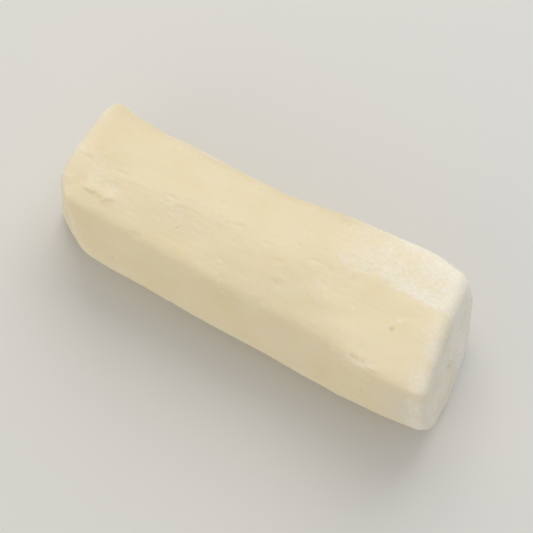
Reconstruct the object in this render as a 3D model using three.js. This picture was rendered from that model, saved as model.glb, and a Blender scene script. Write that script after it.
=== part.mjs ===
// A length of peeled cassava root, lying on its side.
//
// Millimetres, +Z up. The root's axis lies along X with the wider, crown end towards +X. The piece
// rests on one flat knife stroke in the plane Z = 0, and the origin is the middle of its footprint.
//
// The solid starts as a turned billet with rounded rims. Each point of the billet is then drawn in
// towards the axis until it lies on the peeled section, which is a ring of flat knife strokes with
// softened ridges between them. Last, the two cut ends are leaned over.

import * as THREE from 'three';
import { mergeVertices } from 'three/addons/utils/BufferGeometryUtils.js';

// Driving dimensions: millimetres along and across, degrees round the root's axis.
const TIP_X = -53.4;            // where the narrow end's cut crosses the axis
const CROWN_X = 53.2;           // where the wide end's cut crosses the axis
const FLOOR_DEPTH = 17.0;       // the axis lies this far above the surface that the piece rests on
const TIP_RIM = 3.2;            // rounding of the rim at the narrow end
const CROWN_RIM = 3.0;          // and at the wide end
const RIDGE_SHARPNESS = 24;     // higher is crisper; this leaves ridges rounded to about 2 mm
const STROKE_BLEND = 3.0;       // half of the length over which one stroke runs into the next
const FIBRE_RADIUS = 0.8;       // the woody cord in the middle of the root
const FIBRE_PROUD = 0.4;        // how far it stands out of each cut end

// How far each cut leans along X for every millimetre across (y) and up (z) from the axis.
const TIP_LEAN = { y: 0.07, z: -0.05 };
const CROWN_LEAN = { y: -0.14, z: -0.19 };

// The knife left one long face beside the next. A face is a run of strokes laid end to end, each
// given by its x, the angle of its outward normal about +X (0 is +Y, 90 is up), and its depth,
// which is the distance of the flat from the root's axis.
const FACES = {
  topBack: [[-56, 79, 15.3], [24, 76.5, 17.5], [56, 70, 17.6]],
  topFront: [[-56, 99, 15.2], [8, 98, 16.8], [15, 97.5, 16.8], [21, 91.5, 16.9], [56, 90.5, 16.5]],
  ridgeStroke: [
    [-56, 112, 26], [-14, 114, 20.4], [0, 117, 18.9], [8, 115, 18.3], [14, 112, 17.7], [20, 110, 17.7],
    [26, 113, 19.2], [32, 118, 21.4], [40, 118, 22.6], [56, 118, 28],
  ],
  front: [
    [-56, 157, 15.5], [-30, 160, 16.7], [-8, 162, 17.9], [4, 161.5, 18.1], [16, 158.5, 17.6],
    [25, 160.5, 18.3], [31, 166.5, 19.7], [38, 170.5, 20.4], [56, 172, 19.8],
  ],
  frontLow: [
    [-56, 208, 15.2], [-30, 207, 16.6], [0, 207, 18.3], [20, 206, 19.5], [36, 206, 19.3], [56, 207, 18.0],
  ],
  underFront: [[-56, 240, 17.6], [10, 241, 19.0], [44, 240, 18.8], [56, 240, 15.6]],
  bottom: [[-56, 270, 17.6], [56, 270, 17.6]],
  underBack: [[-56, 297, 17.6], [-10, 298, 18.4], [56, 299, 19.8]],
  backLow: [[-56, 330, 17.4], [-5, 331, 18.0], [56, 332, 20.2]],
  back: [
    [-56, 9, 23.3], [-46, 8, 20.3], [-36, 8, 18.6], [-20, 9, 19.0], [2, 9, 18.5], [30, 9, 22.7],
    [42, 10, 23.5], [56, 12, 19.8],
  ],
  shoulder: [[-56, 42, 20.4], [-20, 43, 19.6], [18, 42, 21.2], [56, 41, 22.0]],
  tipBevel: [[-56, 182, 3.8], [-48, 187, 11.2], [-41, 190, 17.0], [-30, 190, 25], [56, 190, 60]],
};

// A hand-held knife wavers a little: [amplitude in mm, turns round the root, radians per mm, phase].
const WAVER = [[0.14, 2, 0.055, 0.6], [0.11, 3, -0.11, 2.0], [0.08, 5, 0.17, 4.1]];

// Fineness of the faceted solid.
const BILLET_RADIUS = 20;
const SIDES = 64;
const SIDE_ROWS = 38;
const RIM_ROWS = 3;
const CAP_RINGS = [2.0, 6.5, 11.5, 15];

// The value in one column of a run of strokes at x, on straight lines between the strokes.
function alongRun(run, column, x) {
  const last = run.length - 1;
  if (x <= run[0][0]) return run[0][column];
  if (x >= run[last][0]) return run[last][column];
  const next = run.findIndex((stroke) => stroke[0] > x);
  const share = (x - run[next - 1][0]) / (run[next][0] - run[next - 1][0]);
  return THREE.MathUtils.lerp(run[next - 1][column], run[next][column], share);
}

// The same value with the corner between two strokes softened.
function softened(run, column, x) {
  const before = alongRun(run, column, x - STROKE_BLEND);
  const after = alongRun(run, column, x + STROKE_BLEND);
  return (before + 2 * alongRun(run, column, x) + after) / 4;
}

// Radius of the peeled section. A flat at depth d and angle a is met at the radius d / cos(theta - a)
// and the nearest flat wins. A high power mean in place of the plain smallest value rounds the ridges.
function sectionRadius(theta, x) {
  let sum = 0;
  for (const run of Object.values(FACES)) {
    const facing = Math.cos(theta - THREE.MathUtils.degToRad(softened(run, 1, x)));
    sum += (Math.max(0, facing) * BILLET_RADIUS / softened(run, 2, x)) ** RIDGE_SHARPNESS;
  }
  let radius = BILLET_RADIUS * sum ** (-1 / RIDGE_SHARPNESS);
  for (const [amplitude, turns, pitch, phase] of WAVER) {
    radius += amplitude * Math.sin(turns * theta + pitch * x + phase);
  }
  return radius;
}

// Half of the billet's outline, from the pole at one end to the start of its side: the fibre's
// stump, the flat cut and the rounded rim. Returns [distance from the axis, distance in from the cut].
function endProfile(rim) {
  const points = [[0, -FIBRE_PROUD], [FIBRE_RADIUS, -FIBRE_PROUD], [FIBRE_RADIUS * 1.5, 0]];
  for (const radius of CAP_RINGS) points.push([radius, 0]);
  for (let row = 0; row <= RIM_ROWS; row += 1) {
    const turn = (Math.PI / 2) * (row / RIM_ROWS);
    points.push([BILLET_RADIUS - rim * (1 - Math.sin(turn)), rim * (1 - Math.cos(turn))]);
  }
  return points;
}

// The turned billet, a closed solid of revolution with its axis on X.
function turnedBillet() {
  const outline = endProfile(TIP_RIM).map(([radius, inset]) => [radius, TIP_X + inset]);
  const start = TIP_X + TIP_RIM;
  const end = CROWN_X - CROWN_RIM;
  for (let row = 1; row < SIDE_ROWS; row += 1) {
    outline.push([BILLET_RADIUS, start + (end - start) * (row / SIDE_ROWS)]);
  }
  outline.push(...endProfile(CROWN_RIM).map(([radius, inset]) => [radius, CROWN_X - inset]).reverse());
  const points = outline.map(([radius, x]) => new THREE.Vector2(radius, x));
  return new THREE.LatheGeometry(points, SIDES);
}

// Moves one point of the billet, given by its x, its angle and its distance from the axis, onto
// the peeled and cut root.
function carve(x, theta, distance) {
  const radius = distance * (sectionRadius(theta, x) / BILLET_RADIUS);
  const y = radius * Math.cos(theta);
  const z = Math.max(radius * Math.sin(theta), -FLOOR_DEPTH);
  const share = (x - TIP_X) / (CROWN_X - TIP_X);
  const tipShift = TIP_LEAN.y * y + TIP_LEAN.z * z;
  const crownShift = CROWN_LEAN.y * y + CROWN_LEAN.z * z;
  return [x + THREE.MathUtils.lerp(tipShift, crownShift, share), y, z];
}

function rootGeometry() {
  const geometry = turnedBillet();
  geometry.deleteAttribute('normal');
  geometry.deleteAttribute('uv');
  const position = geometry.getAttribute('position');
  for (let i = 0; i < position.count; i += 1) {
    // The lathe turns its outline about its own Y, which becomes the root's X.
    const across = position.getZ(i);
    const up = position.getX(i);
    position.setXYZ(i, ...carve(position.getY(i), Math.atan2(up, across), Math.hypot(across, up)));
  }
  const closed = mergeVertices(geometry, 1e-4);
  closed.computeBoundingBox();
  const middle = closed.boundingBox.getCenter(new THREE.Vector3());
  closed.translate(-middle.x, -middle.y, -closed.boundingBox.min.z);
  closed.computeVertexNormals();
  return closed;
}

const flesh = new THREE.MeshStandardMaterial({ color: '#e6dabc', roughness: 0.6, metalness: 0 });

const cassavaRoot = new THREE.Mesh(rootGeometry(), flesh);
cassavaRoot.name = 'cassava_root';

const piece = new THREE.Group();
piece.add(cassavaRoot);

export default piece;
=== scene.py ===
# %% [markdown]
# # One piece of frozen, peeled cassava
#
# Cassava root is peeled with a knife, cut into lengths as long as a hand is wide, and frozen. A
# piece is cream-white, dense and starchy. Its sides are long, nearly flat knife strokes that meet in
# soft ridges, its two ends are cut across, and ice has begun to whiten its rims.
#
# The solid model of the piece is already made, so this lesson makes its looks: a finer surface over
# the same form, the flesh, the frost, and a quiet studio to see them in.

# %% Load the solid model
import math

import bpy
import numpy as np
from mathutils import Matrix, Vector


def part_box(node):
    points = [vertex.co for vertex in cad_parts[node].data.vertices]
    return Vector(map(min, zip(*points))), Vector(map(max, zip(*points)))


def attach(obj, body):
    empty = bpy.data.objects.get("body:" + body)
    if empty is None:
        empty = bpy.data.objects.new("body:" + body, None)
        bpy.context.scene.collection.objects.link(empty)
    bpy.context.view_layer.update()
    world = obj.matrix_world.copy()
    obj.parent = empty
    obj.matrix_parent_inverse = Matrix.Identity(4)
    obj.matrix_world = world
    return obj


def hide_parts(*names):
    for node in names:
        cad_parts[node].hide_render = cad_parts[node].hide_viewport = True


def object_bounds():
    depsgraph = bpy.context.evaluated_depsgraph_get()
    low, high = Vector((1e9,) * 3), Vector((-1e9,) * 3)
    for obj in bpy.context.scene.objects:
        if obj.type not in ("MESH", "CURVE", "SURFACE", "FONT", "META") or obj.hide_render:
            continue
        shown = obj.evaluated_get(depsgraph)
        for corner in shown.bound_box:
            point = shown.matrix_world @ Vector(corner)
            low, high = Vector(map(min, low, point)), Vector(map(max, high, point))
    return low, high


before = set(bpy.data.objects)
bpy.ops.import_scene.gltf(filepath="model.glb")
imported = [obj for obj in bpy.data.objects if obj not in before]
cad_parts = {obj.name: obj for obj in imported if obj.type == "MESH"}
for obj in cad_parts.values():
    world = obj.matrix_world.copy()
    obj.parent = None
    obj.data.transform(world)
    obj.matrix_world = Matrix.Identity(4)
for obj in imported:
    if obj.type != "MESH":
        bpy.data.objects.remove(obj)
cad_box = [list(corner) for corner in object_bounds()]
MM = 0.001
print("solid model, mm:", [round((high - low) / MM, 1) for low, high in zip(*cad_box)])

# %% [markdown]
# ## The camera
#
# The piece is seen from above, a little from its near side and a little from its crown end, and it
# runs downhill across the picture. A camera can be aimed with a Track To constraint, but a tilt that
# is given in the piece's own frame is clearer as three directions: where the camera's back, right and
# top point. They are the columns of its matrix. A long lens far away keeps the ends nearly the same
# size, as the eye takes them to be.

# %% Camera
TILT_TO_NEAR = math.radians(20)     # lean of the view towards -Y, the near side
TILT_TO_CROWN = math.radians(5)     # and towards +X, the crown end
DOWNHILL = math.radians(26.7)       # how far the root's axis falls to the right in the picture
LENS = 400.0                        # mm
FRAME_WIDTH = 134 * MM              # how much of the scene the picture takes in
FAR_CLIP = 10.0                     # m, the farthest thing that the camera sees


def camera_directions():
    """Right, up and back of the camera. Back leans from straight up by the two tilts. The root's
    axis, seen flat on the picture, is then turned downhill about the line of sight."""
    back = Vector((math.tan(TILT_TO_CROWN), -math.tan(TILT_TO_NEAR), 1)).normalized()
    axis = Vector((1, 0, 0))
    along = (axis - axis.dot(back) * back).normalized()
    across = back.cross(along)
    right = math.cos(DOWNHILL) * along + math.sin(DOWNHILL) * across
    up = -math.sin(DOWNHILL) * along + math.cos(DOWNHILL) * across
    return right, up, back


def add_camera(target):
    data = bpy.data.cameras.new("still_camera")
    data.lens = LENS
    camera = bpy.data.objects.new("still_camera", data)
    bpy.context.scene.collection.objects.link(camera)
    right, up, back = camera_directions()
    distance = FRAME_WIDTH * LENS / data.sensor_width
    turn = Matrix((right, up, back)).transposed().to_4x4()
    camera.matrix_world = Matrix.Translation(target + back * distance) @ turn
    data.clip_end = FAR_CLIP
    bpy.context.scene.camera = camera
    return camera


middle = (Vector(cad_box[0]) + Vector(cad_box[1])) / 2
camera = add_camera(middle)
print("camera stands", round((camera.location - middle).length, 2), "m away")

# %% [markdown]
# ## The peeled form
#
# The knife leaves flats. A flat at depth d whose outward direction is at angle a is met, going out
# from the root's axis at angle t, at the distance d / cos(t - a). The peeled section is the nearest
# flat at every angle, and a power mean in place of the plain smallest value rounds the ridges. The
# flats change along the root as one stroke follows the next, and these are the solid model's own
# numbers, so that the finer surface lies on it.

# %% The knife's strokes
TIP_X, CROWN_X = -53.4, 53.2        # mm, where the cuts cross the root's axis
FLOOR_DEPTH = 17.0                  # mm, height of the axis over the surface below
TIP_RIM, CROWN_RIM = 3.2, 3.0       # mm, rounding of the rims
TIP_LEAN = (0.07, -0.05)            # shift of the cut along X per mm of y and of z
CROWN_LEAN = (-0.14, -0.19)
BILLET_RADIUS = 20.0                # mm, radius of the plain bar that the form is carved from
RIDGE_SHARPNESS = 24
STROKE_BLEND = 3.0                  # mm

# Each stroke: x in mm, angle of its outward direction about +X (0 is +Y, 90 is up), depth in mm.
FACES = {
    "top_back": [(-56, 79, 15.3), (24, 76.5, 17.5), (56, 70, 17.6)],
    "top_front": [(-56, 99, 15.2), (8, 98, 16.8), (15, 97.5, 16.8), (21, 91.5, 16.9), (56, 90.5, 16.5)],
    "ridge_stroke": [(-56, 112, 26), (-14, 114, 20.4), (0, 117, 18.9), (8, 115, 18.3), (14, 112, 17.7),
                     (20, 110, 17.7), (26, 113, 19.2), (32, 118, 21.4), (40, 118, 22.6), (56, 118, 28)],
    "front": [(-56, 157, 15.5), (-30, 160, 16.7), (-8, 162, 17.9), (4, 161.5, 18.1), (16, 158.5, 17.6),
              (25, 160.5, 18.3), (31, 166.5, 19.7), (38, 170.5, 20.4), (56, 172, 19.8)],
    "front_low": [(-56, 208, 15.2), (-30, 207, 16.6), (0, 207, 18.3), (20, 206, 19.5), (36, 206, 19.3),
                  (56, 207, 18.0)],
    "under_front": [(-56, 240, 17.6), (10, 241, 19.0), (44, 240, 18.8), (56, 240, 15.6)],
    "bottom": [(-56, 270, 17.6), (56, 270, 17.6)],
    "under_back": [(-56, 297, 17.6), (-10, 298, 18.4), (56, 299, 19.8)],
    "back_low": [(-56, 330, 17.4), (-5, 331, 18.0), (56, 332, 20.2)],
    "back": [(-56, 9, 23.3), (-46, 8, 20.3), (-36, 8, 18.6), (-20, 9, 19.0), (2, 9, 18.5), (30, 9, 22.7),
             (42, 10, 23.5), (56, 12, 19.8)],
    "shoulder": [(-56, 42, 20.4), (-20, 43, 19.6), (18, 42, 21.2), (56, 41, 22.0)],
    "tip_bevel": [(-56, 182, 3.8), (-48, 187, 11.2), (-41, 190, 17.0), (-30, 190, 25), (56, 190, 60)],
}
# Waver of the hand: amplitude in mm, turns round the root, radians per mm along it, phase.
WAVER = [(0.14, 2, 0.055, 0.6), (0.11, 3, -0.11, 2.0), (0.08, 5, 0.17, 4.1)]


def along_run(run, column, x):
    """One column of a run of strokes at x: straight lines between the strokes, with each corner
    softened by averaging the value at x with the values a little before and after it."""
    stations = np.array(run, float)

    def plain(place):
        return np.interp(place, stations[:, 0], stations[:, column])

    return (plain(x - STROKE_BLEND) + 2 * plain(x) + plain(x + STROKE_BLEND)) / 4


def peeled_section(theta, x):
    """Distance of the peeled surface from the axis, and each face's share in it. Every face pulls
    with (radius * cos(theta - angle) / depth) to a high power. The summed pull gives the distance,
    and a face's share is its part of the sum: 1 on its own flat, one half on a ridge."""
    pulls = {}
    for face, run in FACES.items():
        facing = np.maximum(0, np.cos(theta - np.radians(along_run(run, 1, x))))
        pulls[face] = (facing * BILLET_RADIUS / along_run(run, 2, x)) ** RIDGE_SHARPNESS
    total = sum(pulls.values())
    radius = BILLET_RADIUS * total ** (-1 / RIDGE_SHARPNESS)
    for amplitude, turns, pitch, phase in WAVER:
        radius = radius + amplitude * np.sin(turns * theta + pitch * x + phase)
    return radius, {face: pull / total for face, pull in pulls.items()}


print(len(FACES), "faces, radius over the middle", round(float(peeled_section(math.pi / 2, 0)[0]), 1), "mm")

# %% [markdown]
# ## The grid
#
# The surface is a grid of rings from the pole of the tip's cut, over its rounded rim, along the side
# and back to the pole of the crown's cut. A ring needs its distance from the axis on the plain bar,
# its place along it, and which way is out there: straight along the axis on a cut, straight away from
# it on the side, and turning from one to the other round the rim. The spacing is about 0.4 mm, fine
# enough for real knife marks and still under the limit of triangles.

# %% Rings of the bar
AROUND = 276
SIDE_RINGS = 290
RIM_RINGS = 7
CUT_RINGS = 26


def end_rings(rim):
    """Rings from a pole to the start of the side, as three columns: distance from the axis,
    distance in from the cut, and the turn of the outward direction from along the axis (0) to
    away from it (a quarter turn). The cut's rings lie closer together near the fibre."""
    share = np.linspace(0, 1, CUT_RINGS + 1)[1:]
    cut = (BILLET_RADIUS - rim) * share ** 1.25
    turn = np.linspace(0, math.pi / 2, RIM_RINGS + 1)[1:]
    over_rim = BILLET_RADIUS - rim * (1 - np.sin(turn))
    flat = np.zeros(CUT_RINGS)
    return np.column_stack([
        np.concatenate([cut, over_rim]),
        np.concatenate([flat, rim * (1 - np.cos(turn))]),
        np.concatenate([flat, turn]),
    ])


tip_end = end_rings(TIP_RIM)
crown_end = end_rings(CROWN_RIM)[::-1]
side_x = np.linspace(TIP_X + TIP_RIM, CROWN_X - CROWN_RIM, SIDE_RINGS + 2)[1:-1]
ring_distance = np.concatenate([tip_end[:, 0], np.full(SIDE_RINGS, BILLET_RADIUS), crown_end[:, 0]])
ring_x = np.concatenate([TIP_X + tip_end[:, 1], side_x, CROWN_X - crown_end[:, 1]])
ring_turn = np.concatenate([tip_end[:, 2], np.full(SIDE_RINGS, math.pi / 2), crown_end[:, 2]])
ring_side = np.sign(ring_x)         # -1 on the tip's half, +1 on the crown's half
theta = np.linspace(0, 2 * math.pi, AROUND, endpoint=False)[None, :]
X = ring_x[:, None]
TURN = ring_turn[:, None]
END = ring_side[:, None]
on_cut = np.cos(TURN) ** 2 + 0 * theta
print(len(ring_x), "rings of", AROUND, "points:", 2 * AROUND * len(ring_x), "triangles")

# %% [markdown]
# ## Uneven surfaces
#
# Nothing grown or cut by hand is smooth. A grid of random heights would show a seam where the grid
# closes, so the unevenness here is a sum of cosines that run through space in random directions.
# It is the same wherever it is asked, it has no seam, and stretching space along the root turns
# round blotches into long streaks.

# %% A field of ripples
def ripples(points, size, seed, stretch=(1, 1, 1), waves=40):
    """A smooth random field with a spread of about 1. It is the sum of cosines that run in seeded
    random directions, with wavelengths from 0.7 to 1.6 times size in mm. stretch lengthens the
    pattern along x, y and z."""
    rng = np.random.default_rng(seed)
    direction = rng.normal(size=(waves, 3))
    direction /= np.linalg.norm(direction, axis=1)[:, None]
    wavelength = size * rng.uniform(0.7, 1.6, waves)
    phase = rng.uniform(0, 2 * math.pi, waves)
    scaled = points / np.array(stretch)
    field = np.zeros(points.shape[:-1])
    for n in range(waves):
        field += np.cos(scaled @ direction[n] * (2 * math.pi / wavelength[n]) + phase[n])
    return field * math.sqrt(2 / waves)


def step_up(value, low, high):
    """Goes smoothly from 0 where value is at low to 1 where it is at high."""
    share = np.clip((value - low) / (high - low), 0, 1)
    return share * share * (3 - 2 * share)


section_radius, face_share = peeled_section(theta, X)


def place(distance, outward):
    """Puts points of the bar on the carved root, in mm with the root's axis at y = z = 0. The
    distance from the axis is scaled to the peeled section, outward adds relief along the bar's
    outward direction, the underside is cut flat, and the cuts lean by a shear that fades along
    the root."""
    away = distance * section_radius / BILLET_RADIUS + outward * np.sin(TURN)
    x = X + outward * np.cos(TURN) * END
    y = away * np.cos(theta)
    z = np.maximum(away * np.sin(theta), -FLOOR_DEPTH)
    share = (X - TIP_X) / (CROWN_X - TIP_X)
    tip_shift = TIP_LEAN[0] * y + TIP_LEAN[1] * z
    crown_shift = CROWN_LEAN[0] * y + CROWN_LEAN[1] * z
    return np.stack([x + (1 - share) * tip_shift + share * crown_shift, y, z], axis=-1)


smooth_form = place(ring_distance[:, None], 0)
ridge = np.clip(2 - 2 * np.max(list(face_share.values()), axis=0), 0, 1) * (1 - on_cut)
rim = np.exp(-((TURN - math.pi / 4) / 0.75) ** 2) + 0 * theta
print("smooth form, mm:", np.ptp(smooth_form.reshape(-1, 3), axis=0).round(1))

# %% [markdown]
# ## Marks of the knife
#
# Where a stroke runs out the flesh lifts into a low lip before the next stroke begins. The blade
# also lifts flaps that end in a small ragged step, tears up welts and leaves grooves, scrapes the
# ridges, and leaves low mounds and shallow hollows. The heights are tenths of a millimetre, and they
# matter: under soft light they tell flesh from plastic. A mark is placed by x and by the angle round
# the root, and is measured on the unrolled surface.

# %% Distances on the unrolled surface
def unrolled(x, angle):
    """Gaps in mm from a place on the surface to every point of the grid: along the root, and round
    it, which is the turn between them times the distance from the axis."""
    turn = (theta - math.radians(angle) + math.pi) % (2 * math.pi) - math.pi
    return X - x + 0 * theta, section_radius * turn


def ovals(listed):
    """Bells on the surface, each with its own half length, half width and height. Their sum."""
    total = np.zeros(theta.shape)
    for x, angle, half_length, half_width, height in listed:
        along, across = unrolled(x, angle)
        total = total + height * np.exp(-(along / half_length) ** 2 - (across / half_width) ** 2)
    return total


def flaps(listed):
    """Flesh that the blade lifted and left. A flap is a bell with one gentle side, towards smaller
    angles, and one steep side, where it ends in a small ragged step. Their sum."""
    ragged = 0.35 * ripples(smooth_form, 1.5, seed=7)
    total = np.zeros(theta.shape)
    for x, angle, half_length, gentle, steep, height in listed:
        along, across = unrolled(x, angle)
        across = across + ragged
        slope = np.where(across < 0, across / gentle, across / steep)
        total = total + height * np.exp(-(along / half_length) ** 2 - slope ** 2)
    return total


def lines(listed):
    """Marks that run straight between two places: a bell of the distance to the nearest point
    between them. Their sum."""
    total = np.zeros(theta.shape)
    for x, angle, x_end, angle_end, half_width, height in listed:
        along, across = unrolled(x, angle)
        reach = (x_end - x, math.radians(angle_end - angle) * section_radius)
        share = (along * reach[0] + across * reach[1]) / (reach[0] ** 2 + reach[1] ** 2)
        share = np.clip(share, 0, 1)
        gap = (along - share * reach[0]) ** 2 + (across - share * reach[1]) ** 2
        total = total + height * np.exp(-gap / half_width ** 2)
    return total


# %% Where strokes run out
# Face, x in mm, slant of the line in mm per mm across, height in mm, and which way the knife ran
# (1 is towards the crown).
STROKE_ENDS = [
    ("top_front", 16.5, 1.0, 0.12, -1), ("top_front", -31.0, 0.5, 0.12, 1),
    ("top_back", -12.0, 0.6, 0.10, 1), ("top_back", 31.0, -0.5, 0.10, -1),
    ("front", 29.5, 0.3, 0.26, 1), ("front", -22.0, -0.4, 0.14, 1),
    ("front_low", 31.5, 0.5, 0.24, 1), ("front_low", -15.0, 0.5, 0.20, 1),
    ("back", 8.0, 0.5, 0.26, 1), ("back", -27.0, -0.6, 0.22, -1), ("shoulder", -6.0, 0.7, 0.18, 1),
    ("shoulder", 30.0, -0.6, 0.18, -1), ("back_low", -2.0, 0.5, 0.24, 1),
    ("under_back", 18.0, 0.6, 0.22, 1), ("under_front", -8.0, -0.6, 0.24, -1),
]
LIP_RISE, LIP_FALL = 9.0, 1.4       # mm along the root


def stroke_lips(ends):
    """Low lips across a face. Before the line where a stroke runs out the surface climbs, ever
    faster, to the lip's height, and past the line it falls away within about a millimetre. The
    line slants with the distance across the face from its middle."""
    lips = np.zeros(theta.shape)
    for face, x_end, slant, height, way in ends:
        middle_angle = np.radians(along_run(FACES[face], 1, X))
        across = section_radius * np.sin(theta - middle_angle)
        past = way * (X - x_end - slant * across)
        lip = np.where(past < 0, np.exp(past / LIP_RISE), np.exp(-(past / LIP_FALL) ** 2))
        lips = lips + height * lip * face_share[face]
    return lips


# %% Relief of the side, in mm
# Mounds, and wear where the height is below zero: x, angle, half length, half width, height.
MOUNDS = [
    (20.5, 107, 6.5, 2.6, 0.34), (-47.0, 109, 1.4, 2.0, -0.14), (52, 134, 3.0, 4.0, -0.45),
    (-52.5, 124, 3.0, 4.0, -0.55), (30, 188, 13, 7, -0.55), (2, 190, 10, 6, -0.30),
    (6, 305, 9, 3, 0.2), (-30, 20, 7, 3, 0.2), (24, 350, 6, 4, -0.2),
]
# Flaps: x, angle of the steep edge, half length, width of the gentle and of the steep side, height.
FLAPS = [
    (-44.0, 115.5, 2.2, 2.1, 0.70, 0.57), (-39.4, 115.5, 1.7, 1.9, 0.70, 0.53),
    (-50.6, 116.0, 1.2, 1.4, 0.60, 0.34), (-22.0, 90.0, 12.0, 4.0, 1.1, 0.14),
    (33.0, 146.5, 5.5, 2.2, 0.55, 0.24), (-18.0, 205.0, 6.0, 2.6, 0.60, 0.25),
    (22.0, 62.0, 5.0, 2.4, 0.60, 0.14), (-32, 318, 6, 3, 0.6, 0.28), (38.0, 338.0, 5.0, 2.6, 0.60, 0.25),
]
# Welts of torn flesh, and scrapes, which are white but hardly raised:
# x and angle at both ends, half width, height.
WELTS = [
    (32.8, 138.4, 37.6, 137.4, 0.45, 0.42), (37.6, 135.8, 40.2, 135.0, 0.40, 0.32),
    (42.0, 139.3, 43.0, 139.3, 0.40, 0.18),
    (10, 24, 20, 23, 0.50, 0.22), (-38, 225, -29, 226, 0.45, 0.22), (33, 255, 41, 254, 0.40, 0.20),
    (-8, 314, 3, 315, 0.45, 0.22),
]
# Grooves, most of them beside a welt, where torn flesh came from. The same numbers, but the last is
# a share of GROOVE_DEPTH. The last number of a scrape is how white it is.
GROOVES = [
    (32.6, 134.8, 36.0, 134.8, 0.45, 1.3), (30.4, 108.0, 28.6, 112.0, 0.45, 0.3),
    (10, 21, 18, 20.5, 0.45, 0.8), (-36, 228, -30, 228.5, 0.4, 0.8),
]
SCRAPES = [(-6.7, 130, -3.5, 141, 0.55, 1.0), (30.2, 150, 31.0, 163, 0.5, 0.5), (2, 28, 5, 20, 0.6, 0.8)]
GROOVE_DEPTH = 0.25
CRUMB_DEPTH = 0.16                  # of flesh crumbled off the ridges and the rims
RIM_CRUMBS = 0.8                    # how much a rim crumbles, where a ridge is 1
HOLLOW, DIP, BLADE_LINE = 0.10, 0.035, 0.008        # spread of the broad, middling and fine ripples

broken = np.clip(0.75 + 0.4 * ripples(smooth_form, 1.6, seed=8), 0, 1.4)
hollows = HOLLOW * ripples(smooth_form, 14, seed=3, stretch=(2.6, 1, 1))
dips = DIP * ripples(smooth_form, 5.0, seed=4, stretch=(1.8, 1, 1))
blade_lines = BLADE_LINE * ripples(smooth_form, 1.5, seed=5, stretch=(26, 1, 1))
crumbling = step_up(ripples(smooth_form, 2.4, seed=6, stretch=(2.4, 1, 1)), 0.9, 2.2)
crumbs = -CRUMB_DEPTH * np.clip(ridge + rim * RIM_CRUMBS, 0, 1) * crumbling
welts = broken * lines(WELTS)
scrapes = broken * lines(SCRAPES)
grooves = broken * lines(GROOVES)
lifted = ovals(MOUNDS) + flaps(FLAPS)
side_relief = hollows + dips + blade_lines + crumbs + welts - GROOVE_DEPTH * grooves
side_relief = side_relief + lifted + stroke_lips(STROKE_ENDS)
print("relief of the side, mm:", side_relief.min().round(2), "to", side_relief.max().round(2))

# %% Pits and ice grains, in mm
# Listed: x in mm, angle round the root, half width in mm.
PITS = [(39.7, 106.8, 0.65), (36.1, 162, 0.40), (-20.5, 112, 0.30), (-33, 168, 0.35)]
GRAINS = [
    (-45.6, 105.8, 0.40), (-43.8, 106.4, 0.35), (-38.3, 106.4, 0.45), (28.5, 105.8, 0.45),
    (40.9, 97.8, 0.60), (47.6, 96.5, 0.50), (47.0, 103.8, 0.45), (20.3, 102.0, 0.60), (-7, 121, 0.35),
    (-27, 96, 0.35), (-29, 108, 0.40), (-45, 150, 0.4), (37.9, 145.0, 0.40), (29.6, 158.0, 0.40),
]
SCATTER_X = (-50, 48)               # stretch of the root that the seeded ones fall on
SCATTER_WIDTH = (0.25, 0.4)         # and their half widths
PIT_DEPTH, GRAIN_HEIGHT = 0.16, 0.13
GROOVE_PAINTED_SHADE = 0.75                 # how dark the painted shade in a groove is, where a pit is 1


def spots(listed, scattered, seed):
    """Small round bells of height 1, given by a list and by a number of seeded places more."""
    rng = np.random.default_rng(seed)
    more = np.column_stack([rng.uniform(*SCATTER_X, scattered), rng.uniform(0, 360, scattered),
                            rng.uniform(*SCATTER_WIDTH, scattered)])
    round_ones = [(x, angle, width, width, 1.0) for x, angle, width in [*listed, *more]]
    return np.clip(ovals(round_ones), 0, 1) * (1 - on_cut)


pits = spots(PITS, scattered=8, seed=15)
# Pits are brown specks, and the grooves add painted shade along them.
specks_and_groove_shade = np.clip(pits + GROOVE_PAINTED_SHADE * grooves, 0, 1)
grains = spots(GRAINS, scattered=26, seed=13)

# %% [markdown]
# ## The cut ends
#
# A cut shows how the root grew: a woody cord in the middle, as thick as a match, rays that fan out
# from it, and a faint ring just inside the edge. The cord is tougher than the flesh, so it stands a
# little proud where the flesh has shrunk round it. One corner of the tip's rim is worn away.

# %% Relief of the cut ends, in mm
FIBRE_RADIUS, FIBRE_PROUD = 0.9, 0.4
RING_AT = 14.0                      # mm from the middle, on the plain bar
STAR_POINTS, STAR_DEPTH = 5, 0.22   # the cord is a blunt star
SHRUNK_AT, SHRUNK_WIDTH, SHRUNK_DEPTH = 2.0, 0.9, 0.16
SAW_WAVE, SAW_FUZZ = 0.08, 0.03     # spread of the cut's broad and fine ripples
RAY_HEIGHT, RING_DEPTH, CRACK_DEPTH = 0.02, 0.04, 0.10
WORN_CORNERS = [(-53.0, 124, 2.5, 4.0, 0.45)]       # x, angle, half length, half width, depth
WORN_FROM = 11.0                    # mm from the middle of the cut, where that wear begins
CRACKS = [(0.5, 5.5, 0.07), (2.9, 4.0, 0.08), (4.6, 6.5, 0.06)]     # angle, reach in mm, half width


def fan(seed, slowest, fastest):
    """A random pattern that depends on the angle alone: cosines that fit a whole number of times
    round the circle, so that it closes."""
    rng = np.random.default_rng(seed)
    turns = np.arange(slowest, fastest)
    phase = rng.uniform(0, 2 * math.pi, len(turns))
    return np.cos(turns[:, None] * theta + phase[:, None]).sum(0) * math.sqrt(2 / len(turns))


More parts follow.
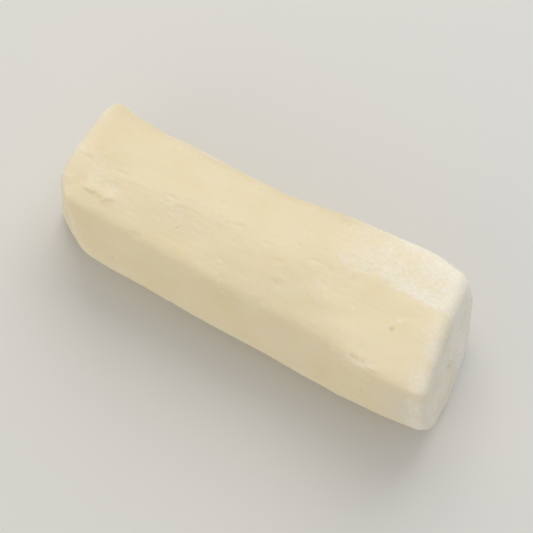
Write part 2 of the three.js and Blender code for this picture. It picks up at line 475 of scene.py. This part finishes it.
cut_distance = ring_distance[:, None] + 0 * theta
rays = fan(41, 14, 46)[None, :] * step_up(cut_distance, 2, 7)
saw_wave = SAW_WAVE * ripples(smooth_form, 9, seed=21) + SAW_FUZZ * ripples(smooth_form, 2.2, seed=22)
star = FIBRE_RADIUS * (1 + STAR_DEPTH * np.cos(STAR_POINTS * theta + 0.7))
fibre_share = 1 - step_up(cut_distance, star * 0.8, star * 1.5)
shrunk = -SHRUNK_DEPTH * np.exp(-((cut_distance - SHRUNK_AT) / SHRUNK_WIDTH) ** 2)
ring_line = np.exp(-((cut_distance - RING_AT - 0.4 * fan(42, 2, 6)[None, :]) / 0.5) ** 2)
cracks = np.zeros(theta.shape)
for angle, crack_reach, half_width in CRACKS:
    bend = 0.25 * np.sin(cut_distance * 0.8 + angle)
    aside = cut_distance * np.sin(theta - angle) - bend
    ahead = (np.cos(theta - angle) > 0) * (1 - step_up(cut_distance, crack_reach * 0.5, crack_reach))
    crack = ahead * np.exp(-(aside / (half_width * 2)) ** 2) * step_up(cut_distance, 1, 1.6)
    cracks = np.maximum(cracks, crack)
cut_relief = saw_wave + FIBRE_PROUD * fibre_share + shrunk
cut_relief = cut_relief + RAY_HEIGHT * rays - RING_DEPTH * ring_line - CRACK_DEPTH * cracks
worn = ovals(WORN_CORNERS) * step_up(cut_distance, WORN_FROM, BILLET_RADIUS)
relief = (1 - on_cut) * side_relief + on_cut * cut_relief
relief = relief - PIT_DEPTH * pits + GRAIN_HEIGHT * grains - worn
tip_cut = cut_relief[:CUT_RINGS]
print("the tip's cut: relief", tip_cut.min().round(2), "to", tip_cut.max().round(2), "mm")

# %% [markdown]
# ## Frost, clear ice and painted shade
#
# Ice grows first where the flesh dries first: on the rims, along the ridges and on the cut ends. This
# piece has most of it at the crown, on the side away from the camera. One corner there is glazed with
# clear ice, which looks greyer. The far faces of the tip's half get painted shade, a duller cream, and
# two lumps near the tip get a painted highlight, laid on with the frost. Each is stored as a number at
# every point of the mesh, which the material reads, because it follows the form and not the space
# around it.

# %% Where the frost and a painted highlight lie
# Patches: x, angle, half length and half width in mm, and strength. The first two are a painted highlight
# on the lit slopes of two lumps near the tip.
FROST_AND_HIGHLIGHT_PATCHES = [
    (-45, 107, 3.5, 2.2, 0.20), (-39, 109, 2.5, 1.6, 0.18), (-51, 118, 3, 4, 0.20), (20, 102, 4, 2.2, 0.10),
    (50, 165, 4, 14, 0.22), (-24, 104, 13, 5, 0.13), (-45, 90, 7, 5, 0.12), (-20, 20, 16, 6, 0.20),
    (12, 300, 18, 8, 0.30), (-35, 235, 12, 7, 0.30),
]
# Painted shade on the far side near the tip: x, angle, half length, half width, strength.
PAINTED_SHADE_PATCHES = [(-47.0, 50, 9.0, 8.0, 0.3)]
ICY_PATCHES = [(50.0, 163, 7.0, 10.0, 0.9)]
PAINTED_SHADE_TOP = 0.2                    # how much painted shade the far top face gets, where the faces below it get 1
CROWN_HALF = (12, 44)               # x where the crown's half fades in
FAR_SIDE = (76, 69)                 # angle where the far side fades in
RIM_BAND = (-3.4, 0.8)              # mm past the start of a rim, where its frost fades in
TIP_DRYNESS = 0.12                  # how dry the tip's rim is, where the crown's is 1
# Frost in each place, before it is broken up.
FROST = {"everywhere": 0.10, "dry_rim": 0.34, "rim": 0.14, "ridge": 0.07, "cut": 0.24, "far_crown": 0.64}
BLOTCHES, SPECKLE = 0.20, 0.15      # how much the two patterns break it up
GRAIN_FROST, WELT_FROST, SCRAPE_FROST = 0.9, 1.3, 0.55
RIME_HEIGHT = 0.035                 # mm, roughness of full frost

blotches = ripples(smooth_form, 7, seed=31, stretch=(1.5, 1, 1))
speckle = ripples(smooth_form, 1.6, seed=32)
# Painted shade: a duller cream on the far faces of the tip's half, and in a patch near the tip.
far_shade_share = PAINTED_SHADE_TOP * face_share["top_back"] ** 2 + face_share["shoulder"] + face_share["back"]
far_shade_share = far_shade_share + ovals(PAINTED_SHADE_PATCHES)
crown_half = step_up(X, *CROWN_HALF)
# The far side goes by the angle alone, so on the crown's cut it ends on straight lines from the middle.
far_side = step_up(np.cos(theta), *(math.cos(math.radians(angle)) for angle in FAR_SIDE))
frosted_end = FROST["far_crown"] * far_side * crown_half
# The painted shade, kept off the crown's half and the cuts.
painted_far_shade = np.clip(far_shade_share, 0, 1) * (1 - crown_half) * (1 - on_cut)
icy = ovals(ICY_PATCHES) * (1 - on_cut)
past_rim = np.maximum(X - CROWN_X + CROWN_RIM, TIP_X + TIP_RIM - X)
dry_rim = step_up(past_rim, *RIM_BAND) * (1 - on_cut)
dryness = np.where(END > 0, 1.0, TIP_DRYNESS)
frost_and_highlight = FROST["everywhere"] + dryness * (FROST["dry_rim"] * dry_rim + FROST["rim"] * rim)
# The patches include a painted highlight on two lumps near the tip.
frost_and_highlight = frost_and_highlight + FROST["ridge"] * ridge + FROST["cut"] * on_cut + frosted_end + ovals(FROST_AND_HIGHLIGHT_PATCHES)
frost_and_highlight = np.clip(frost_and_highlight * (1 + BLOTCHES * blotches + SPECKLE * speckle), 0, 1)
for whitened in (GRAIN_FROST * grains, WELT_FROST * welts, SCRAPE_FROST * scrapes):
    frost_and_highlight = np.maximum(frost_and_highlight, np.clip(whitened, 0, 1))
rime = RIME_HEIGHT * frost_and_highlight * ripples(smooth_form, 1.3, seed=33)
root_points = place(cut_distance, relief + rime)
root_size = np.ptp(root_points.reshape(-1, 3), axis=0)
print("mean frost:", frost_and_highlight.mean().round(2), "and size, mm:", root_size.round(1))

# %% [markdown]
# ## The mesh
#
# The grid becomes one closed mesh: quads between neighbouring rings, with the last point of a ring
# joined to the first, and a fan of triangles round a single point at each pole.

# %% Build the root
def closed_grid_mesh(name, grid, first_pole, last_pole):
    """A mesh from a grid of rings that closes on itself. Vertex numbers run ring by ring, and the
    two poles come last. Quads are written so that their faces point outwards."""
    rings, around = grid.shape[:2]
    points = np.concatenate([grid.reshape(-1, 3), [first_pole], [last_pole]])
    number = np.arange(rings * around).reshape(rings, around)
    after = np.roll(number, -1, axis=1)
    quads = np.stack([number[:-1], number[1:], after[1:], after[:-1]], axis=-1).reshape(-1, 4)
    first_fan = np.stack([np.full(around, rings * around), number[0], after[0]], axis=-1)
    last_fan = np.stack([np.full(around, rings * around + 1), after[-1], number[-1]], axis=-1)
    mesh = bpy.data.meshes.new(name)
    faces = [corners[:, ::-1].tolist() for corners in (quads, first_fan, last_fan)]
    mesh.from_pydata(points, [], faces[0] + faces[1] + faces[2])
    mesh.polygons.foreach_set("use_smooth", np.ones(len(mesh.polygons), bool))
    mesh.update()
    return mesh


def store(mesh, name, ring_values, first_value, last_value):
    """Keeps one number per vertex of the grid, and one for each pole, as a named attribute."""
    values = np.concatenate([np.ravel(ring_values), [first_value, last_value]])
    mesh.attributes.new(name, "FLOAT", "POINT").data.foreach_set("value", values.astype(np.float32))


low, high = (np.array(corner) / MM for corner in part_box("cassava_root"))
form_low = smooth_form.reshape(-1, 3).min(0)
form_high = smooth_form.reshape(-1, 3).max(0)
shift = (low + high) / 2 - (form_low + form_high) / 2
shift[2] = low[2] + FLOOR_DEPTH
grid = (root_points + shift) * MM
poles = [grid[0].mean(0), grid[-1].mean(0)]
root_mesh = closed_grid_mesh("peeled_cassava", grid, *poles)
# Among the marks are the painted far shade and the frost's painted highlight on two lumps. The pits' mark
# also holds painted shade in the grooves.
marks = {
    "frost_and_highlight": frost_and_highlight, "cut": on_cut, "painted_far_shade": painted_far_shade, "icy": icy, "speck_and_groove_shade": specks_and_groove_shade,
    "ray": (0.5 + 0.25 * rays) * on_cut, "ring": ring_line * on_cut, "fibre": fibre_share * on_cut,
    "crack": cracks * on_cut,
}
for name, values in marks.items():
    store(root_mesh, name, np.clip(values, 0, 1), values[0].mean(), values[-1].mean())
root = bpy.data.objects.new("peeled_cassava", root_mesh)
bpy.context.scene.collection.objects.link(root)
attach(root, "root")
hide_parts("cassava_root")
root_mesh.calc_loop_triangles()
corners = (root_mesh.vertices[i].co for triangle in root_mesh.loop_triangles for i in triangle.vertices)
corners = np.array([tuple(corner) for corner in corners]).reshape(-1, 3, 3) / MM
volume = np.einsum("ij,ij->i", corners[:, 0], np.cross(corners[:, 1], corners[:, 2])).sum() / 6
print("root:", len(corners), "triangles, volume", round(volume / 1000, 1), "ml")
print("its faces point", "outwards" if volume > 0 else "inwards")

# %% [markdown]
# ## The flesh
#
# Raw cassava is starch and water: a dense cream, not shiny, with light going a little way into it,
# which softens every ridge. Freezing adds a thin white bloom. The colours are laid over each other
# like glazes, and each glaze has a mask: a noise, or one of the marks that were stored on the mesh.
# Marks follow the form, and noises fill in what is finer than the mesh.

# %% Colour and node helpers
def linear(colour):
    """An sRGB hex colour as linear red, green, blue and a full alpha."""
    parts = [int(colour[i:i + 2], 16) / 255 for i in (1, 3, 5)]
    return [p / 12.92 if p <= 0.04045 else ((p + 0.055) / 1.055) ** 2.4 for p in parts] + [1.0]


def add(tree, kind, links=None, **settings):
    """Adds a node. A setting names one of the node's own properties, or else an input socket, with
    its spaces as underscores. links maps an input, by name or number, to the output that feeds it."""
    node = tree.nodes.new(kind)
    for key, value in settings.items():
        if hasattr(node, key):
            setattr(node, key, value)
        else:
            node.inputs[key.replace("_", " ")].default_value = value
    for key, output in (links or {}).items():
        tree.links.new(output, node.inputs[key])
    return node


def per_metre(size_mm):
    """Scale of a noise texture on coordinates in metres whose features are size_mm across."""
    return 1 / (size_mm * MM)


# %% Noises of the flesh
BLOTCH, STREAK, VEIN, CRYSTAL = 14, 2.4, 3.2, 0.6       # mm across
STREAK_STRETCH, VEIN_STRETCH = 14, 20                   # how many times longer than wide
CREAM = "#f0e3c2"                                       # the flesh under all the glazes
BUMP_HEIGHT = 0.10 * MM
LIGHT_DEPTH = 1.4 * MM                                  # how far light goes into the flesh


def flesh_noises(tree):
    """The masks that come from noise. Stretched coordinates turn noise into streaks, and the places
    where a stretched noise crosses its middle value are thin lines: the veins. A coarse noise added
    to their distance from that crossing hides most of them."""
    at = add(tree, "ShaderNodeTexCoord").outputs["Object"]
    streaked = add(tree, "ShaderNodeMapping", {"Vector": at}, Scale=(1 / STREAK_STRETCH, 1, 1)).outputs[0]
    veined = add(tree, "ShaderNodeMapping", {"Vector": at}, Scale=(1 / VEIN_STRETCH, 1, 1)).outputs[0]
    noises = {}
    for name, size, detail, vector in [
        ("blotch", BLOTCH, 2.0, at), ("streak", STREAK, 3.0, streaked), ("vein", VEIN, 1.0, veined),
        ("gap", BLOTCH / 2, 0.0, at), ("crystal", CRYSTAL, 3.0, at),
        ("fibre_bump", STREAK / 4, 2.0, streaked),
    ]:
        noise = add(tree, "ShaderNodeTexNoise", {"Vector": vector}, Scale=per_metre(size), Detail=detail)
        noises[name] = noise.outputs["Fac"]
    off_middle = add(tree, "ShaderNodeMath", {0: noises["vein"]}, operation="SUBTRACT")
    distance = add(tree, "ShaderNodeMath", {0: off_middle.outputs[0]}, operation="ABSOLUTE")
    hidden = add(tree, "ShaderNodeMapRange", {"Value": noises["gap"]},
                 From_Min=0.42, From_Max=0.52, To_Max=0.1)
    shown = add(tree, "ShaderNodeMath", {0: distance.outputs[0], 1: hidden.outputs[0]}, operation="ADD")
    noises["vein"] = shown.outputs[0]
    return noises


# %% Flesh material
def flesh_material():
    """Raw frozen cassava flesh: satin cream, a little yellower in blotches and faint streaks along
    the root, duller with painted shade on the far faces of the tip's half, greyer under clear ice,
    paler and greyer on the cuts, white where frost lies, lighter with a painted highlight on two lumps
    near the tip, darker in pits and cracks, and darker with painted shade in the grooves."""
    material = bpy.data.materials.new("frozen_cassava_flesh")
    material.use_nodes = True
    tree = material.node_tree
    tree.nodes.clear()
    noises = flesh_noises(tree)
    mark = {name: add(tree, "ShaderNodeAttribute", attribute_name=name).outputs["Fac"] for name in marks}
    bloom = add(tree, "ShaderNodeMapRange", {"Value": noises["crystal"]}, From_Min=0.15, From_Max=0.65)
    frost_and_highlight_bloom = add(tree, "ShaderNodeMath", {0: mark["frost_and_highlight"], 1: bloom.outputs[0]}, operation="MULTIPLY")
    frost_and_highlight_bloom = frost_and_highlight_bloom.outputs[0]

    # Glazes from the bottom up: mask, where the mask starts and is full, strength there, colour.
    glazes = [
        (noises["blotch"], 0.30, 0.70, 0.55, "#e9d9b0"),
        (noises["streak"], 0.45, 0.75, 0.13, "#e2cf9e"),
        (noises["vein"], 0.012, 0.0, 0.10, "#cfb788"),
        # painted shade: a duller cream on the far faces of the tip's half
        (mark["painted_far_shade"], 0, 1, 0.70, "#dac9a0"),
        (mark["icy"], 0, 1, 0.50, "#d6d6d2"),
        (mark["cut"], 0, 1, 0.65, "#e3decd"),
        (mark["ray"], 0.45, 1, 0.22, "#f3efe2"),
        (mark["ring"], 0, 1, 0.35, "#cfc3a0"),
        # frost, white, with a painted highlight on two lumps near the tip
        (frost_and_highlight_bloom, 0, 1, 1.00, "#f6f2e8"),
        # brown specks in pits, and painted shade in the grooves
        (mark["speck_and_groove_shade"], 0.2, 1, 0.38, "#b89f6c"),
        (mark["crack"], 0.1, 1, 0.30, "#b8a67e"),
        (mark["fibre"], 0.1, 1, 0.55, "#d6c394"),
    ]
    colour = None
    for mask, start, full, strength, tint in glazes:
        share = add(tree, "ShaderNodeMapRange", {"Value": mask},
                    From_Min=start, From_Max=full, To_Max=strength)
        glaze = add(tree, "ShaderNodeMix", {"Factor": share.outputs[0]},
                    data_type="RGBA", A=linear(CREAM), B=linear(tint))
        if colour:
            tree.links.new(colour, glaze.inputs["A"])
        colour = glaze.outputs["Result"]

    roughness = add(tree, "ShaderNodeMapRange", {"Value": frost_and_highlight_bloom}, To_Min=0.46, To_Max=0.85)
    grain = add(tree, "ShaderNodeBump", {"Height": noises["fibre_bump"]},
                Strength=0.16, Distance=BUMP_HEIGHT)
    bumps = add(tree, "ShaderNodeBump", {"Height": noises["crystal"], "Normal": grain.outputs[0]},
                Strength=0.3, Distance=BUMP_HEIGHT)
    shader = add(tree, "ShaderNodeBsdfPrincipled",
                 {"Base Color": colour, "Roughness": roughness.outputs[0], "Normal": bumps.outputs[0]},
                 IOR=1.42, Subsurface_Weight=0.8, Subsurface_Radius=(1.0, 0.75, 0.5),
                 Subsurface_Scale=LIGHT_DEPTH)
    add(tree, "ShaderNodeOutputMaterial", {"Surface": shader.outputs[0]})
    return material


root_mesh.materials.append(flesh_material())

# %% [markdown]
# ## The studio
#
# A pale sweep of board stands for the table, a big soft light hangs over the far side, and a bright
# room fills the shadows.

# %% Floor
FLOOR_SIZE = 4.0                    # m


def floor_material():
    material = bpy.data.materials.new("matt_pale_board")
    material.use_nodes = True
    tree = material.node_tree
    shader = tree.nodes["Principled BSDF"]
    shader.inputs["Base Color"].default_value = linear("#e0dfdc")
    shader.inputs["Roughness"].default_value = 0.9
    return material


floor_mesh = bpy.data.meshes.new("studio_floor")
half = FLOOR_SIZE / 2
floor_corners = [(-half, -half, 0), (half, -half, 0), (half, half, 0), (-half, half, 0)]
floor_mesh.from_pydata(floor_corners, [], [(0, 1, 2, 3)])
floor_mesh.materials.append(floor_material())
studio_floor = bpy.data.objects.new("studio_floor", floor_mesh)
bpy.context.scene.collection.objects.link(studio_floor)

# %% Lights
LIGHT_DISTANCE, LIGHT_SIZE = 0.9, 0.9       # m
KEY_POWER, FILL_POWER = 4.7, 1.65           # W
ROOM_STRENGTH = 0.58


def area_light(name, direction, distance, size, power, colour):
    """A square soft light that stands off the piece in a direction and faces it."""
    data = bpy.data.lights.new(name, "AREA")
    data.size = size
    data.energy = power
    data.color = linear(colour)[:3]
    lamp = bpy.data.objects.new(name, data)
    bpy.context.scene.collection.objects.link(lamp)
    away = Vector(direction).normalized()
    turn = away.to_track_quat("Z", "Y").to_matrix().to_4x4()
    lamp.matrix_world = Matrix.Translation(middle + away * distance) @ turn


area_light("soft_key", (-0.25, 0.75, 0.9), LIGHT_DISTANCE, LIGHT_SIZE, KEY_POWER, "#fffaf0")
area_light("near_fill", (-0.35, -1.0, 0.45), LIGHT_DISTANCE, LIGHT_SIZE, FILL_POWER, "#fff0cc")
world = bpy.data.worlds.new("bright_room")
world.use_nodes = True
world.node_tree.nodes["Background"].inputs["Color"].default_value = linear("#f4f6fa")
world.node_tree.nodes["Background"].inputs["Strength"].default_value = ROOM_STRENGTH
bpy.context.scene.world = world
bpy.context.scene.view_settings.view_transform = "Standard"
